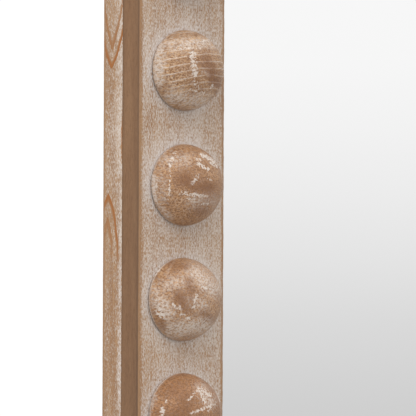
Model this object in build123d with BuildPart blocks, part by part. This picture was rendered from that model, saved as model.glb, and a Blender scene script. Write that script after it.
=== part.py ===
from build123d import *
import math
import os

os.makedirs("parts", exist_ok=True)

# An arched floor mirror, in millimetres. X runs to the right, Y to the back and Z up.
# The origin is on the floor, below the middle of the whole mirror.

# Frame
overall_width = 787.0
overall_height = 1777.0
face_width = 94.0
face_thickness = 24.0
lip_thickness = 3.0
cove_depth = 7.0
cove_hollow = 3.0
cove_chords = 3
edge_ease = 1.5
back_board_width = 60.0
back_board_thickness = 27.0
back_joint_stagger = 70.0

# Loose tenons in the joints of the face boards
tenon_width = 40.0
tenon_thickness = 8.0
tenon_length = 50.0
tenon_end_gap = 1.0
tenon_glue_gap = 0.1

# Half balls on the face
stud_diameter = 70.0
stud_pitch_wanted = 99.0
stud_sides = 16
stud_bands = 5

# Glass and what holds it
rebate_width = 14.0
rebate_depth = 6.0
glass_thickness = 4.0
glass_gap = 1.5
setting_block_length = 60.0
foam_width = 11.0
back_panel_thickness = 5.0
back_panel_gap = 2.0

# Rubber bumpers on the back
bumper_size = 20.0
bumper_thickness = 6.0
bumper_arch_angle = 60.0

# Ring hangers on the back
hanger_drop = 83.5
strap_thickness = 1.2
strap_width = 18.0
strap_length = 52.0
strap_hole_diameter = 4.8
strap_corner = 3.0
ring_bar_diameter = 3.0
ring_bar_clearance = 0.05
ring_inner_width = 22.0
ring_inner_length = 20.0
ring_wire_width = 3.5
ring_thickness = 2.6
screw_head_diameter = 8.0
screw_head_height = 2.2
screw_shank_diameter = 4.0
screw_length = 20.0
screw_spacing = 14.0
first_screw_drop = 30.0
screw_sides = 12

# Worked out from the above
half_width = overall_width / 2
spring_height = overall_height - half_width
stud_radius = stud_diameter / 2
frame_depth = face_thickness + back_board_thickness
front_y = (stud_radius - frame_depth - bumper_thickness) / 2
back_y = front_y + frame_depth
opening_half_width = half_width - face_width
centre_line = face_width / 2
centre_radius = half_width - centre_line
back_inner_radius = half_width - back_board_width
arch_axis = Axis((0, 0, spring_height), (0, 1, 0))
tenon_y = front_y + (face_thickness - rebate_depth) / 2 + edge_ease


def arch_point(radius, angle):
    """X and Z at a radius from the arch's centre, the angle measured up from its left springing."""
    turn = math.radians(angle)
    return -radius * math.cos(turn), spring_height + radius * math.sin(turn)


def arch_plane(angle):
    """A plane across the arch: its x runs in from the outer edge, its y to the back."""
    turn = math.radians(angle)
    x, z = arch_point(half_width, angle)
    return Plane((x, front_y, z), (math.cos(turn), 0, -math.sin(turn)), (math.sin(turn), 0, math.cos(turn)))


def cove_point(share):
    """A point in the hollow under the lip, a share of the way from its back edge to the lip."""
    fall = face_thickness - lip_thickness
    chord = math.hypot(cove_depth, fall)
    sink = 4 * cove_hollow * share * (1 - share)
    return (
        share * cove_depth + sink * fall / chord,
        face_thickness - share * fall + sink * cove_depth / chord,
    )


def face_board_outline():
    """A face board's section: eased face, hollow under the lip, rebate for the glass."""
    Polyline(
        (edge_ease, 0),
        (face_width - edge_ease, 0),
        (face_width, edge_ease),
        (face_width, face_thickness - rebate_depth),
        (face_width - rebate_width, face_thickness - rebate_depth),
        (face_width - rebate_width, face_thickness),
        *[cove_point(i / cove_chords) for i in range(cove_chords + 1)],
        (0, lip_thickness),
        (0, edge_ease),
        close=True,
    )


def back_board_outline():
    """A back board's section, lying against the back of a face board, flush with its outer edge."""
    Polyline(
        (0, face_thickness),
        (back_board_width, face_thickness),
        (back_board_width, frame_depth - edge_ease),
        (back_board_width - edge_ease, frame_depth),
        (edge_ease, frame_depth),
        (0, frame_depth - edge_ease),
        close=True,
    )


def arched_outline(inset):
    """The mirror's outline in elevation, drawn in by an inset, with a flat foot."""
    radius = half_width - inset
    Polyline((-radius, spring_height), (-radius, inset), (radius, inset), (radius, spring_height))
    ThreePointArc((radius, spring_height), (0, spring_height + radius), (-radius, spring_height))


def elevation(depth):
    """A plane in the mirror's elevation, at a depth behind the face, facing the front."""
    return Plane((0, front_y + depth, 0), (1, 0, 0), (0, -1, 0))


def save(piece, name):
    piece.part.label = name
    export_step(piece.part, f"parts/{name}.step")


# Where the half balls sit: an even pitch along the foot, and up the sides and round the arch
foot_length = 2 * centre_radius
foot_steps = round(foot_length / stud_pitch_wanted)
side_length = spring_height - centre_line
rise_length = 2 * side_length + math.pi * centre_radius
rise_steps = round(rise_length / stud_pitch_wanted)
rise_pitch = rise_length / rise_steps
side_studs = int(side_length / rise_pitch)
arch_step_angle = math.degrees(rise_pitch / centre_radius)
first_arch_angle = math.degrees(((side_studs + 1) * rise_pitch - side_length) / centre_radius)
arch_studs_count = rise_steps - 2 * side_studs - 1

side_heights = [centre_line + (i + 1) * rise_pitch for i in range(side_studs)]
foot_centres = [(i * foot_length / foot_steps - centre_radius, centre_line) for i in range(foot_steps + 1)]
arch_angles = [first_arch_angle + i * arch_step_angle for i in range(arch_studs_count)]
arch_centres = [arch_point(centre_radius, angle) for angle in arch_angles]

# The crown board holds the middle three or four half balls, so its joints fall between two of them
crown_half_angle = (1.5 + 0.5 * (rise_steps % 2)) * arch_step_angle
crown_start = 90 - crown_half_angle
crown_end = 90 + crown_half_angle

# A tenon crosses each joint of the face boards: its x runs across the board, its z along it
mitre_left = Plane((-centre_radius, tenon_y, centre_line), (1, 0, 1), (-1, 0, 1))
mitre_right = Plane((centre_radius, tenon_y, centre_line), (-1, 0, 1), (1, 0, 1))


def arch_tenon_plane(angle):
    across = arch_plane(angle)
    x, z = arch_point(centre_radius, angle)
    return Plane((x, tenon_y, z), across.x_dir, across.z_dir)


spring_left = arch_tenon_plane(0)
spring_right = arch_tenon_plane(180)
crown_left = arch_tenon_plane(crown_start)
crown_right = arch_tenon_plane(crown_end)


def mitre_cut(side):
    """The half space outside a foot corner's mitre, as a plane for a split."""
    return Plane((side * half_width, front_y, 0), (0, 1, 0), (side, 0, 1))


def cut_tenon_pockets(*joints):
    """Cuts the pockets of the tenons that cross the given joints out of the board being made."""
    for joint in joints:
        with BuildSketch(joint) as pocket:
            Rectangle(tenon_width + 2 * tenon_glue_gap, tenon_thickness + 2 * tenon_glue_gap)
        extrude(pocket.sketch, amount=tenon_length / 2 + tenon_end_gap, both=True, mode=Mode.SUBTRACT)


# Face boards
with BuildPart() as left_face_board:
    with BuildSketch(Plane((-half_width, front_y, 0), (1, 0, 0), (0, 0, 1))):
        with BuildLine():
            face_board_outline()
        make_face()
    extrude(amount=spring_height)
    split(bisect_by=mitre_cut(-1), keep=Keep.TOP)
    cut_tenon_pockets(mitre_left, spring_left)
save(left_face_board, "left_face_board")

with BuildPart() as right_face_board:
    mirror(left_face_board.part, about=Plane.YZ)
save(right_face_board, "right_face_board")

with BuildPart() as bottom_face_board:
    with BuildSketch(Plane((half_width, front_y, 0), (0, 0, 1), (-1, 0, 0))):
        with BuildLine():
            face_board_outline()
        make_face()
    extrude(amount=overall_width)
    split(bisect_by=mitre_cut(-1), keep=Keep.BOTTOM)
    split(bisect_by=mitre_cut(1), keep=Keep.BOTTOM)
    cut_tenon_pockets(mitre_left, mitre_right)
save(bottom_face_board, "bottom_face_board")

with BuildPart() as left_arch_face:
    with BuildSketch(arch_plane(0)):
        with BuildLine():
            face_board_outline()
        make_face()
    revolve(axis=arch_axis, revolution_arc=crown_start)
    cut_tenon_pockets(spring_left, crown_left)
save(left_arch_face, "left_arch_face")

with BuildPart() as right_arch_face:
    mirror(left_arch_face.part, about=Plane.YZ)
save(right_arch_face, "right_arch_face")

with BuildPart() as crown_arch_face:
    with BuildSketch(arch_plane(crown_start)):
        with BuildLine():
            face_board_outline()
        make_face()
    revolve(axis=arch_axis, revolution_arc=crown_end - crown_start)
    cut_tenon_pockets(crown_left, crown_right)
save(crown_arch_face, "crown_arch_face")

with BuildPart() as joint_tenons:
    for joint in (mitre_left, mitre_right, spring_left, spring_right, crown_left, crown_right):
        with BuildSketch(joint):
            Rectangle(tenon_width, tenon_thickness)
        extrude(amount=tenon_length / 2, both=True)
save(joint_tenons, "joint_tenons")


# Back boards, glued behind the face boards with their joints in other places
side_board_top = spring_height - back_joint_stagger
hanger_x = half_width - back_board_width / 2
hanger_height = side_board_top - hanger_drop
ring_axis_off = strap_thickness + ring_bar_clearance + ring_bar_diameter / 2
ring_axis_y = back_y + ring_axis_off
screw_heights = [hanger_height - first_screw_drop - i * screw_spacing for i in range(2)]
screw_depth = screw_length - strap_thickness

with BuildPart() as left_side_board:
    with BuildSketch(Plane((-half_width, front_y, 0), (1, 0, 0), (0, 0, 1))):
        with BuildLine():
            back_board_outline()
        make_face()
    extrude(amount=side_board_top)
    with BuildSketch(Plane((-hanger_x, back_y, 0), (1, 0, 0), (0, -1, 0))):
        with Locations(*[(0, z) for z in screw_heights]):
            RegularPolygon(screw_shank_diameter / 2, screw_sides)
    extrude(amount=screw_depth, mode=Mode.SUBTRACT)
save(left_side_board, "left_side_board")

with BuildPart() as right_side_board:
    mirror(left_side_board.part, about=Plane.YZ)
save(right_side_board, "right_side_board")

with BuildPart() as bottom_back_board:
    with BuildSketch(Plane((back_inner_radius, front_y, 0), (0, 0, 1), (-1, 0, 0))):
        with BuildLine():
            back_board_outline()
        make_face()
    extrude(amount=2 * back_inner_radius)
save(bottom_back_board, "bottom_back_board")

with BuildPart() as left_arch_back:
    with BuildSketch(arch_plane(0)):
        with BuildLine():
            back_board_outline()
        make_face()
    revolve(axis=arch_axis, revolution_arc=90)
    with BuildSketch(Plane((-half_width, front_y, side_board_top), (1, 0, 0), (0, 0, 1))):
        with BuildLine():
            back_board_outline()
        make_face()
    extrude(amount=back_joint_stagger)
save(left_arch_back, "left_arch_back")

with BuildPart() as right_arch_back:
    mirror(left_arch_back.part, about=Plane.YZ)
save(right_arch_back, "right_arch_back")


# Half balls: one shape, set out along the frame, its facets small enough to read as round
with BuildPart() as stud:
    stud_points = [(0, -stud_radius, 0)]
    for band in range(stud_bands):
        rise = math.pi / 2 * band / stud_bands
        for i in range(stud_sides):
            turn = 2 * math.pi * i / stud_sides
            across = stud_radius * math.cos(rise)
            stud_points.append(
                (across * math.cos(turn), -stud_radius * math.sin(rise), across * math.sin(turn))
            )
    ConvexPolyhedron(stud_points)

stud_sets = {
    "left_studs": [(-centre_radius, z) for z in side_heights],
    "right_studs": [(centre_radius, z) for z in side_heights],
    "bottom_studs": foot_centres,
    "arch_studs": arch_centres,
}
for name, centres in stud_sets.items():
    with BuildPart() as stud_set:
        with Locations(*[(x, front_y, z) for x, z in centres]):
            add(stud.part)
    save(stud_set, name)


# Glass, its packing and the back panel
glass_inset = face_width - rebate_width + glass_gap
glass_depth = face_thickness - rebate_depth
panel_inset = back_board_width + back_panel_gap

with BuildPart() as mirror_glass:
    with BuildSketch(elevation(glass_depth + glass_thickness)):
        with BuildLine():
            arched_outline(glass_inset)
        make_face()
    extrude(amount=glass_thickness)
save(mirror_glass, "mirror_glass")

with BuildPart() as glass_setting_blocks:
    with BuildSketch(elevation(glass_depth + glass_thickness)):
        with Locations(*[(side * opening_half_width / 2, glass_inset - glass_gap / 2) for side in (-1, 1)]):
            Rectangle(setting_block_length, glass_gap)
    extrude(amount=glass_thickness)
save(glass_setting_blocks, "glass_setting_blocks")

with BuildPart() as foam_packing:
    with BuildSketch(elevation(face_thickness)):
        with BuildLine():
            arched_outline(glass_inset)
        make_face()
        with BuildLine():
            arched_outline(glass_inset + foam_width)
        make_face(mode=Mode.SUBTRACT)
    extrude(amount=rebate_depth - glass_thickness)
save(foam_packing, "foam_packing")

with BuildPart() as back_panel:
    with BuildSketch(elevation(face_thickness + back_panel_thickness)):
        with BuildLine():
            arched_outline(panel_inset)
        make_face()
    extrude(amount=back_panel_thickness)
save(back_panel, "back_panel")


# Rubber bumpers that meet the wall
bumper_radius = half_width - back_board_width / 2
bumper_places = [(side * bumper_radius, back_board_width / 2) for side in (-1, 1)]
bumper_places += [arch_point(bumper_radius, angle) for angle in (bumper_arch_angle, 180 - bumper_arch_angle)]

with BuildPart() as wall_bumpers:
    with BuildSketch(elevation(frame_depth + bumper_thickness)):
        with Locations(*bumper_places):
            Rectangle(bumper_size, bumper_size)
    extrude(amount=bumper_thickness)
save(wall_bumpers, "wall_bumpers")


# Ring hangers: a strap rolled round the bar of a stamped ring, and two screws
loop_inner_radius = ring_bar_diameter / 2 + ring_bar_clearance
loop_outer_radius = loop_inner_radius + strap_thickness
ring_outer_width = ring_inner_width + 2 * ring_wire_width
ring_arc_drop = ring_inner_length - ring_inner_width / 2

for side, side_name in ((-1, "left"), (1, "right")):
    with BuildPart() as hanger_strap:
        with BuildSketch(Plane((side * hanger_x, ring_axis_y, hanger_height), (0, 1, 0), (1, 0, 0))):
            Circle(loop_outer_radius)
            with Locations((-ring_axis_off + strap_thickness / 2, -strap_length / 2)):
                Rectangle(strap_thickness, strap_length)
            Circle(loop_inner_radius, mode=Mode.SUBTRACT)
        extrude(amount=strap_width / 2, both=True)
        with BuildSketch(Plane((side * hanger_x, back_y, 0), (1, 0, 0), (0, -1, 0))):
            with Locations(*[(0, z) for z in screw_heights]):
                RegularPolygon(strap_hole_diameter / 2, screw_sides)
        extrude(amount=-strap_thickness, mode=Mode.SUBTRACT)
        strap_end = hanger_strap.edges().filter_by(Axis.Y).group_by(Axis.Z)[0]
        chamfer(strap_end, strap_corner)
    save(hanger_strap, f"{side_name}_hanger_strap")

    with BuildPart() as hanger_ring:
        with BuildSketch(Plane((side * hanger_x, ring_axis_y, hanger_height), (1, 0, 0), (0, -1, 0))):
            with BuildLine():
                for half_span in (ring_inner_width / 2, ring_outer_width / 2):
                    Line((-half_span, 0), (-half_span, -ring_arc_drop))
                    RadiusArc((-half_span, -ring_arc_drop), (half_span, -ring_arc_drop), -half_span)
                    Line((half_span, -ring_arc_drop), (half_span, 0))
                for end in (-1, 1):
                    Line((end * ring_inner_width / 2, 0), (end * ring_outer_width / 2, 0))
            make_face()
        extrude(amount=ring_thickness / 2, both=True)
        with BuildSketch(Plane((side * hanger_x, ring_axis_y, hanger_height), (0, 1, 0), (1, 0, 0))):
            Circle(ring_bar_diameter / 2)
        extrude(amount=ring_outer_width / 2, both=True)
    save(hanger_ring, f"{side_name}_hanger_ring")

with BuildPart() as hanger_screws:
    for side in (-1, 1):
        with BuildSketch(Plane((side * hanger_x, back_y + strap_thickness, 0), (1, 0, 0), (0, -1, 0))):
            with Locations(*[(0, z) for z in screw_heights]):
                RegularPolygon(screw_shank_diameter / 2, screw_sides)
        extrude(amount=screw_length)
        with BuildSketch(Plane((side * hanger_x, back_y + strap_thickness, 0), (1, 0, 0), (0, -1, 0))):
            with Locations(*[(0, z) for z in screw_heights]):
                RegularPolygon(screw_head_diameter / 2, screw_sides)
        extrude(amount=-screw_head_height)
save(hanger_screws, "hanger_screws")
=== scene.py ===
import math
import random

import bmesh
import bpy
import numpy as np
from mathutils import Matrix, Vector


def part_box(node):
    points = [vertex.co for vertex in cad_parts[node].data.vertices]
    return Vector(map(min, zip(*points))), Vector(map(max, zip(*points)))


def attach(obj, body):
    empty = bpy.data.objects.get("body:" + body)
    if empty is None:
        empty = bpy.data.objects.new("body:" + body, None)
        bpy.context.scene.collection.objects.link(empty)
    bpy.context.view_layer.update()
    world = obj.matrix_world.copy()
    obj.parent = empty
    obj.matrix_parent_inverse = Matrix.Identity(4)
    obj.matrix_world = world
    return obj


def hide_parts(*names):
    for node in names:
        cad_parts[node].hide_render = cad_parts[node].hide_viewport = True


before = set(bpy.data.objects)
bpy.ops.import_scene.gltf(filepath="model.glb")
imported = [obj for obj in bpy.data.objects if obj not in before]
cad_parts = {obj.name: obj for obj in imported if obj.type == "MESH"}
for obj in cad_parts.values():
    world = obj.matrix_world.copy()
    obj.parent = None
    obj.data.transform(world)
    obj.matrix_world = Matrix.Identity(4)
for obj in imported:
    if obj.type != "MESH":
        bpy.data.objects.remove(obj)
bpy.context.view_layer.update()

# An arched floor mirror, in metres. X runs to the right, Y to the back and Z up.
# u is the inset from the frame's outer edge, v the depth behind its face and s the length along a board.
mm = 0.001

# Sizes taken from the frame
side_low, side_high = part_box("left_face_board")
back_low, back_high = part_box("left_side_board")
half_width = -side_low.x
face_width = side_high.x - side_low.x
face_thickness = side_high.y - side_low.y
back_width = back_high.x - back_low.x
frame_depth = back_high.y - side_low.y
front_y = side_low.y
back_y = back_high.y
spring_height = side_high.z
side_board_top = back_high.z
glass_low, glass_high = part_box("mirror_glass")
panel_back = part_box("back_panel")[1].y
rebate_depth = side_high.y - glass_low.y
centre_radius = half_width - face_width / 2
arch_length = math.pi * centre_radius
rise_length = 2 * spring_height + arch_length
crown_start = math.acos(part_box("crown_arch_face")[1].x / half_width)

# Sizes of what the frame doesn't say
rebate_width = 14 * mm
lip_thickness = 3 * mm
cove_depth = 7 * mm
cove_hollow = 3 * mm
arris_radius = 1.2 * mm
back_arris = 0.5 * mm
back_front_arris = 0.4 * mm
joint_ease = 0.3 * mm

# How finely the boards are drawn: the step along them and the cell across them
ring_step = 3 * mm
cell = 3 * mm

# Where the photograph looks from
view_turn = math.radians(38.7)
view_right = Vector((math.cos(view_turn), -math.sin(view_turn), 0))
view_ahead = Vector((math.sin(view_turn), math.cos(view_turn), 0))
view_distance = 4.0
field_width = 0.3595
photo_side = 416
photo_right = -241.05 * mm
photo_height = 720.2 * mm
photo_ahead = -225 * mm
photo_roll = math.radians(0.26)
pixel = field_width / photo_side


def height_of_row(row):
    """The height on the left side that a row of the photograph shows."""
    return photo_height - (row - photo_side / 2) * pixel


# Colours, as the photograph shows them where the studio's light falls evenly
light_gain = 1.15


def colour(red, green, blue):
    """A colour on the screen's scale of 255, as the shaders take it."""
    return (*[((c / 255 + 0.055) / 1.055) ** 2.4 / light_gain for c in (red, green, blue)], 1.0)


class Nodes:
    """Makes and links the nodes of a tree."""

    def __init__(self, tree):
        self.tree = tree

    def set(self, socket, value):
        if isinstance(value, bpy.types.NodeSocket):
            self.tree.links.new(value, socket)
        else:
            socket.default_value = value

    def node(self, kind, *values, **settings):
        made = self.tree.nodes.new(kind)
        for key, value in settings.items():
            setattr(made, key, value)
        for socket, value in zip(made.inputs, values):
            if value is not None:
                self.set(socket, value)
        return made

    def layer(self, name, vector=False):
        """A value that the mesh holds at each of its points."""
        made = self.node("ShaderNodeAttribute", attribute_name=name)
        return made.outputs["Vector" if vector else "Fac"]

    def math(self, operation, *values, clamp=False):
        return self.node("ShaderNodeMath", *values, operation=operation, use_clamp=clamp).outputs[0]

    def times(self, first, second):
        return self.math("MULTIPLY", first, second)

    def speckle(self, noise, strength, value, clamp=False):
        """Adds a noise, which is 0.5 in the middle, to a value."""
        return self.math("MULTIPLY_ADD", self.math("SUBTRACT", noise, 0.5), strength, value, clamp=clamp)

    def stretch(self, vector, scale):
        made = self.node("ShaderNodeVectorMath", vector, operation="MULTIPLY")
        made.inputs[1].default_value = scale
        return made.outputs[0]

    def noise(self, vector, scale, detail=2.0, roughness=0.5):
        made = self.node("ShaderNodeTexNoise")
        self.set(made.inputs["Vector"], vector)
        made.inputs["Scale"].default_value = scale
        made.inputs["Detail"].default_value = detail
        made.inputs["Roughness"].default_value = roughness
        return made.outputs[0]

    def grain(self, vector, share, scale, detail=2.0, roughness=0.5):
        """A noise that is drawn out along the grain, the vector's last part."""
        return self.noise(self.stretch(vector, (1.0, 1.0, share)), scale, detail, roughness)

    def step(self, value, low, high, to_low=0.0, to_high=1.0):
        """Goes smoothly from one value to another as value goes from low to high."""
        values = (value, low, high, to_low, to_high)
        return self.node("ShaderNodeMapRange", *values, interpolation_type="SMOOTHSTEP").outputs[0]

    def mix(self, share, first, second):
        made = self.node("ShaderNodeMix", data_type="RGBA")
        self.set(made.inputs[0], share)
        self.set(made.inputs[6], first)
        self.set(made.inputs[7], second)
        return made.outputs[2]

    def level(self, value, low, high, to_low=0.0, to_high=1.0):
        """Goes evenly from one value to another as value goes from low to high."""
        return self.node("ShaderNodeMapRange", value, low, high, to_low, to_high).outputs[0]


class Shader(Nodes):
    """The nodes of one material."""

    def __init__(self, name):
        self.material = bpy.data.materials.new(name)
        self.material.use_nodes = True
        super().__init__(self.material.node_tree)
        self.surface = self.tree.nodes["Principled BSDF"]

    def finish(self, base, roughness, bump=None, depth=0.1 * mm):
        self.set(self.surface.inputs["Base Color"], base)
        self.set(self.surface.inputs["Roughness"], roughness)
        if bump is not None:
            made = self.node("ShaderNodeBump")
            made.inputs["Strength"].default_value = 1.0
            made.inputs["Distance"].default_value = depth
            self.set(made.inputs["Height"], bump)
            self.set(self.surface.inputs["Normal"], made.outputs[0])
        return self.material


def pine_material():
    """Pine, brown under a thin whitewash, with plain brown paint where the whitewash was kept off, which
    the shade layer darkens as painted shade.
    """
    sh = Shader("whitewashed_pine")
    timber = sh.layer("timber", vector=True)
    ring = sh.layer("ring")
    wash = sh.layer("wash")
    worn = sh.layer("worn")
    halo = sh.layer("halo")

    streak = sh.grain(timber, 0.18, 980, roughness=0.65)
    band = sh.grain(timber, 0.08, 150, detail=3, roughness=0.6)
    fleck = sh.grain(timber, 0.5, 920, roughness=0.7)
    cloud = sh.grain(timber, 0.5, 48, detail=3, roughness=0.55)

    wander = sh.grain(timber, 0.3, 150)
    phase = sh.math("MULTIPLY_ADD", wander, 0.22, ring)
    within = sh.math("FRACT", phase)
    number = sh.math("FLOOR", phase)
    strong = sh.step(sh.math("FRACT", sh.math("MULTIPLY_ADD", number, 0.27, 0.09)), 0.42, 0.85)
    rise = sh.step(within, 0.5, 0.8)
    fall = sh.step(within, 0.99, 0.965)
    late = sh.times(sh.times(sh.times(rise, fall), strong), sh.layer("figure"))

    early = sh.mix(sh.step(band, 0.35, 0.65), colour(173, 135, 97), colour(157, 118, 83))
    early = sh.mix(sh.step(streak, 0.42, 0.66, 0.0, 0.75), early, colour(134, 98, 66))
    wood = sh.mix(late, early, colour(158, 96, 36))

    cover = sh.speckle(fleck, 3.2, wash)
    cover = sh.speckle(streak, 1.9, cover)
    cover = sh.speckle(cloud, 0.9, cover)
    cover = sh.math("MULTIPLY_ADD", halo, 0.38, cover)
    cover = sh.math("MULTIPLY_ADD", late, -1.7, cover)
    cover = sh.math("MULTIPLY_ADD", worn, -0.9, cover, clamp=True)
    white = sh.mix(halo, colour(211, 197, 184), colour(219, 211, 206))
    washed = sh.mix(cover, wood, white)
    washed = sh.mix(sh.times(worn, 0.8), washed, colour(154, 118, 84))

    paint = sh.mix(sh.step(band, 0.3, 0.7), colour(150, 113, 80), colour(137, 100, 69))
    paint = sh.mix(sh.step(streak, 0.4, 0.75, 0.0, 0.3), paint, colour(104, 76, 54))
    # The shade layer darkens the plain brown: painted shade under the lip and in the crevice at the back
    # board, and also darker towards the bottom.
    paint = sh.mix(sh.layer("shade"), paint, colour(66, 40, 20))
    base = sh.mix(sh.layer("paint"), washed, paint)

    roughness = sh.step(cover, 0.0, 1.0, 0.62, 0.82)
    height = sh.math("MULTIPLY_ADD", streak, 0.6, sh.times(late, 0.5))
    height = sh.math("MULTIPLY_ADD", cover, 0.35, height)
    return sh.finish(base, roughness, height, 0.25 * mm)


def half_ball_material():
    """Turned pine, rubbed with whitewash that stayed in its grain and in scuffs, with a painted shade in
    the crease at its foot on the lower left.
    """
    sh = Shader("half_balls")
    timber = sh.layer("timber", vector=True)
    ring = sh.layer("ring")
    scuff = sh.layer("scuff")
    stain = sh.layer("stain")
    tone = sh.layer("tone")
    rim = sh.layer("rim")

    fleck = sh.grain(timber, 0.6, 540, detail=3, roughness=0.75)
    fleck = sh.step(fleck, 0.37, 0.63)
    streak = sh.grain(timber, 0.25, 620, detail=3, roughness=0.6)
    grain = sh.grain(timber, 0.5, 900, roughness=0.6)
    grain = sh.step(grain, 0.34, 0.66)
    cloud = sh.noise(timber, 75, detail=3, roughness=0.6)
    wander = sh.noise(timber, 100)
    phase = sh.math("MULTIPLY_ADD", wander, 0.4, ring)
    within = sh.math("FRACT", phase)
    line = sh.times(sh.step(within, 0.74, 0.90), sh.step(within, 1.0, 0.94))
    late = sh.times(sh.step(within, 0.1, 0.6), sh.step(within, 0.7, 0.6))

    wood = sh.mix(tone, colour(202, 163, 121), colour(168, 116, 72))
    wood = sh.mix(sh.times(late, sh.layer("lines")), wood, colour(172, 134, 94))
    wood = sh.mix(sh.step(streak, 0.4, 0.66, 0.0, 0.7), wood, colour(130, 90, 56))
    wood = sh.mix(sh.step(cloud, 0.42, 0.7, 0.0, 0.5), wood, colour(140, 98, 62))
    wood = sh.mix(sh.step(grain, 0.45, 0.9, 0.0, 0.7), wood, colour(108, 66, 34))
    stained = sh.times(stain, sh.level(fleck, 0.0, 1.0, 0.6, 0.95))
    wood = sh.mix(stained, wood, colour(116, 72, 40))

    lined = sh.times(line, sh.layer("lines"))
    lined = sh.times(lined, sh.level(fleck, 0.1, 0.8, 0.5, 1.0))
    lined = sh.times(lined, sh.step(cloud, 0.62, 0.5, 0.4, 1.0))
    rubbed = sh.speckle(fleck, 0.75, scuff)
    rubbed = sh.step(rubbed, 0.4, 0.72, 0.0, 0.95)
    veil = sh.layer("veil")
    scratchy = sh.speckle(streak, 1.9, sh.math("SUBTRACT", fleck, 0.5))
    grey = sh.math("MULTIPLY_ADD", scratchy, sh.math("ADD", veil, 0.27), veil, clamp=True)
    cover = sh.math("MAXIMUM", sh.math("MAXIMUM", lined, rubbed), sh.times(grey, 0.8))
    speck = sh.times(sh.step(grain, 0.5, 0.1), sh.level(fleck, 0.3, 0.9, 0.05, 0.6))
    speck = sh.times(speck, sh.level(tone, 0.0, 1.0, 1.0, 0.1))
    cover = sh.math("MAXIMUM", cover, sh.times(speck, sh.step(cloud, 0.62, 0.42, 0.25, 0.9)))
    bare = sh.math("MULTIPLY_ADD", stain, -0.65, 1.0)
    cover = sh.math("MAXIMUM", sh.times(cover, bare), sh.times(rubbed, 0.9))
    edge = sh.times(rim, sh.level(fleck, 0.0, 1.0, 0.5, 1.0))
    cover = sh.math("MAXIMUM", cover, edge, clamp=True)
    base = sh.mix(cover, wood, colour(218, 206, 195))
    # Painted shade: dark brown in the crease at the ball's foot, on its lower left.
    base = sh.mix(sh.layer("seam"), base, colour(48, 34, 24))

    height = sh.math("MULTIPLY_ADD", cover, 0.4, sh.times(streak, 0.5))
    return sh.finish(base, sh.step(cover, 0.0, 1.0, 0.55, 0.8), height, 0.2 * mm)


def place_vector(sh):
    return sh.node("ShaderNodeTexCoord").outputs["Object"]


def beech_material():
    sh = Shader("tenon_wood")
    place = place_vector(sh)
    fibre = sh.grain(place, 0.2, 500, detail=3)
    pore = sh.grain(place, 0.3, 1500, detail=1)
    base = sh.mix(fibre, colour(214, 184, 148), colour(188, 150, 112))
    base = sh.mix(sh.step(pore, 0.62, 0.75, 0.0, 0.6), base, colour(140, 100, 68))
    return sh.finish(base, 0.6, fibre, 0.1 * mm)


def fibreboard_material():
    """Hardboard: pressed brown fibres with a mottled face."""
    sh = Shader("backing_board")
    place = place_vector(sh)
    fibre = sh.noise(place, 900, detail=4, roughness=0.7)
    blotch = sh.noise(place, 22, detail=4, roughness=0.6)
    base = sh.mix(blotch, colour(150, 118, 88), colour(126, 96, 70))
    base = sh.mix(sh.step(fibre, 0.45, 0.8, 0.0, 0.7), base, colour(176, 146, 114))
    return sh.finish(base, sh.step(fibre, 0.3, 0.7, 0.7, 0.9), fibre, 0.15 * mm)


def silver_material():
    """The silvering seen through clear glass, with a trace of unevenness in its shine."""
    sh = Shader("mirror_silver")
    most, least = 0.976, 0.968
    haze = sh.noise(place_vector(sh), 6)
    base = sh.mix(haze, (most, most, most, 1.0), (least, least, least, 1.0))
    sh.surface.inputs["Metallic"].default_value = 1.0
    return sh.finish(base, sh.step(haze, 0.0, 1.0, 0.0, 0.012))


def speckled_material(name, first, second, scale, detail, roughness, depth):
    """An even material between two colours, with one fine noise in its colour, shine and height."""
    sh = Shader(name)
    speckle = sh.noise(place_vector(sh), scale, detail)
    base = sh.mix(speckle, colour(*first), colour(*second))
    return sh.finish(base, sh.step(speckle, 0.3, 0.7, *roughness), speckle, depth)


def foam_material():
    sh = Shader("foam")
    cells = sh.noise(place_vector(sh), 1400)
    base = sh.mix(cells, colour(236, 236, 230), colour(204, 204, 198))
    return sh.finish(base, 0.9, cells, 0.2 * mm)


def rubber_material():
    sh = Shader("rubber")
    grain = sh.noise(place_vector(sh), 1100)
    dust = sh.noise(place_vector(sh), 130, detail=3)
    base = sh.mix(sh.step(dust, 0.45, 0.75), colour(38, 38, 39), colour(62, 61, 60))
    return sh.finish(base, sh.step(grain, 0.3, 0.7, 0.6, 0.8), grain, 0.06 * mm)


def zinc_material():
    """Bright zinc plate, with the spangle and the small scratches of stamped parts."""
    sh = Shader("zinc_steel")
    place = place_vector(sh)
    spangle = sh.noise(place, 420)
    scratch = sh.noise(sh.stretch(place, (0.15, 1.0, 1.0)), 1600)
    base = sh.mix(spangle, colour(196, 197, 196), colour(164, 166, 168))
    base = sh.mix(sh.step(scratch, 0.6, 0.75, 0.0, 0.4), base, colour(222, 222, 218))
    sh.surface.inputs["Metallic"].default_value = 1.0
    return sh.finish(base, sh.step(spangle, 0.3, 0.7, 0.28, 0.42), scratch, 0.02 * mm)


def floor_material():
    sh = Shader("studio_floor")
    tint = sh.noise(place_vector(sh), 0.6)
    base = sh.mix(tint, colour(196, 195, 193), colour(201, 200, 198))
    return sh.finish(base, 0.85)


pine = pine_material()
half_ball = half_ball_material()
beech = beech_material()
fibreboard = fibreboard_material()
silver = silver_material()
glass_edge = speckled_material(
    "mirror_edge", (122, 152, 138), (164, 188, 176), 1800, 2.0, (0.25, 0.45), 0.03 * mm,
)
glass_back = speckled_material(
    "mirror_back_paint", (96, 100, 104), (110, 114, 118), 260, 3.0, (0.5, 0.65), 0.03 * mm,
)
foam = foam_material()
rubber = rubber_material()
zinc = zinc_material()


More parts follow.
